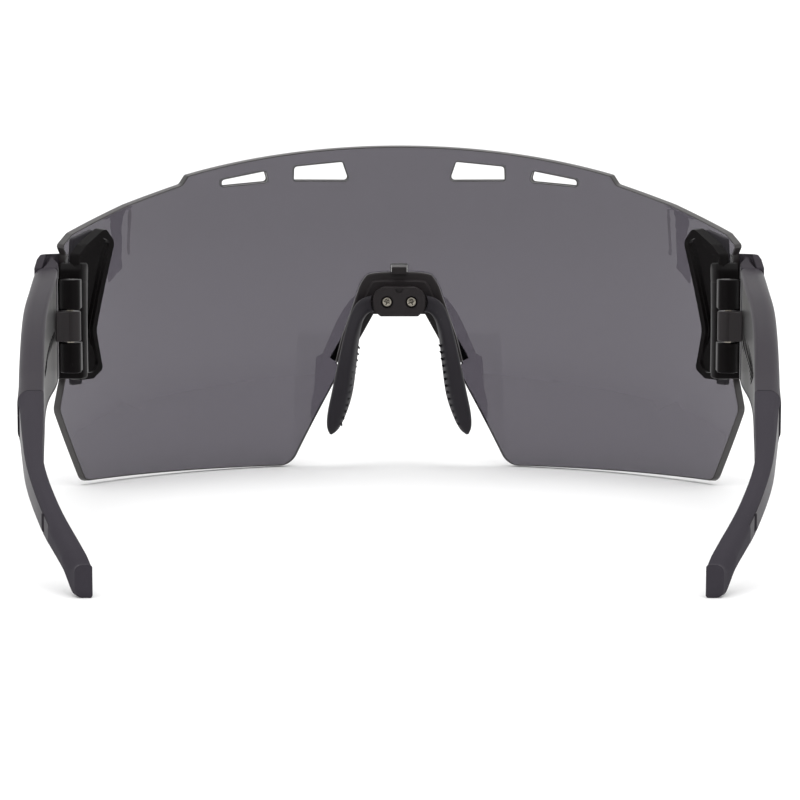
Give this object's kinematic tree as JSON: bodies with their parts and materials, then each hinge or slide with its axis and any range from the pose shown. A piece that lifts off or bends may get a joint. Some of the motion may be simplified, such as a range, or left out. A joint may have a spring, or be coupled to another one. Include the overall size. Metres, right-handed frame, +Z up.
{
  "type": "wraparound sport sunglasses",
  "caption": "Wraparound shield sunglasses with a one-piece smoke lens, a clip-in nose bridge with adjustable pad arms, and folding temples on side hinge lugs.",
  "frame": {"origin": "on the table, midway between the front of the bridge clip and the temple tips, in the middle of the width", "axes": "+X to the wearer's right, +Y the way the wearer looks, +Z up, with the temples open"},
  "size_m": [0.1462, 0.1579, 0.0686],
  "materials": {
    "lens": "smoke-tinted polycarbonate, polished",
    "black_nylon": "fine matt",
    "grey_nylon": "satin",
    "grip_rubber": "soft matt",
    "steel": "bright"
  },
  "bodies": {
    "front": {"lens_shield": "lens", "bridge_clip": "black_nylon", "pad_retainer": "black_nylon", "pad_screw_left": "steel", "pad_screw_right": "steel", "lug_carrier_left": "black_nylon", "lug_carrier_right": "black_nylon", "lug_cap_left": "grey_nylon", "lug_cap_right": "grey_nylon", "lens_gasket_left": "grip_rubber", "lens_gasket_right": "grip_rubber", "hinge_pin_left": "steel", "hinge_pin_right": "steel"},
    "temple_left": {"temple_arm_left": "grey_nylon", "temple_grip_left": "grip_rubber", "temple_inlay_left": "black_nylon"},
    "temple_right": {"temple_arm_right": "grey_nylon", "temple_grip_right": "grip_rubber", "temple_inlay_right": "black_nylon"},
    "pad_left": {"pad_arm_left": "grip_rubber", "pad_wire_left": "steel"},
    "pad_right": {"pad_arm_right": "grip_rubber", "pad_wire_right": "steel"}
  },
  "joints": [
    {"name": "temple_left_fold", "type": "hinge", "parent": "front", "child": "temple_left", "pos_m": [-0.06557, 0.03395, 0.03335], "axis": [0, 0, 1], "range_deg": [0, 90]},
    {"name": "temple_right_fold", "type": "hinge", "parent": "front", "child": "temple_right", "pos_m": [0.06557, 0.03395, 0.03335], "axis": [0, 0, -1], "range_deg": [0, 79]},
    {"name": "pad_left_spread", "type": "hinge", "parent": "front", "child": "pad_left", "pos_m": [-0.0026, 0.07075, 0.0355], "axis": [0, 1, 0], "range_deg": [-8, 10]},
    {"name": "pad_right_spread", "type": "hinge", "parent": "front", "child": "pad_right", "pos_m": [0.0026, 0.07075, 0.0355], "axis": [0, -1, 0], "range_deg": [-8, 10]}
  ]
}
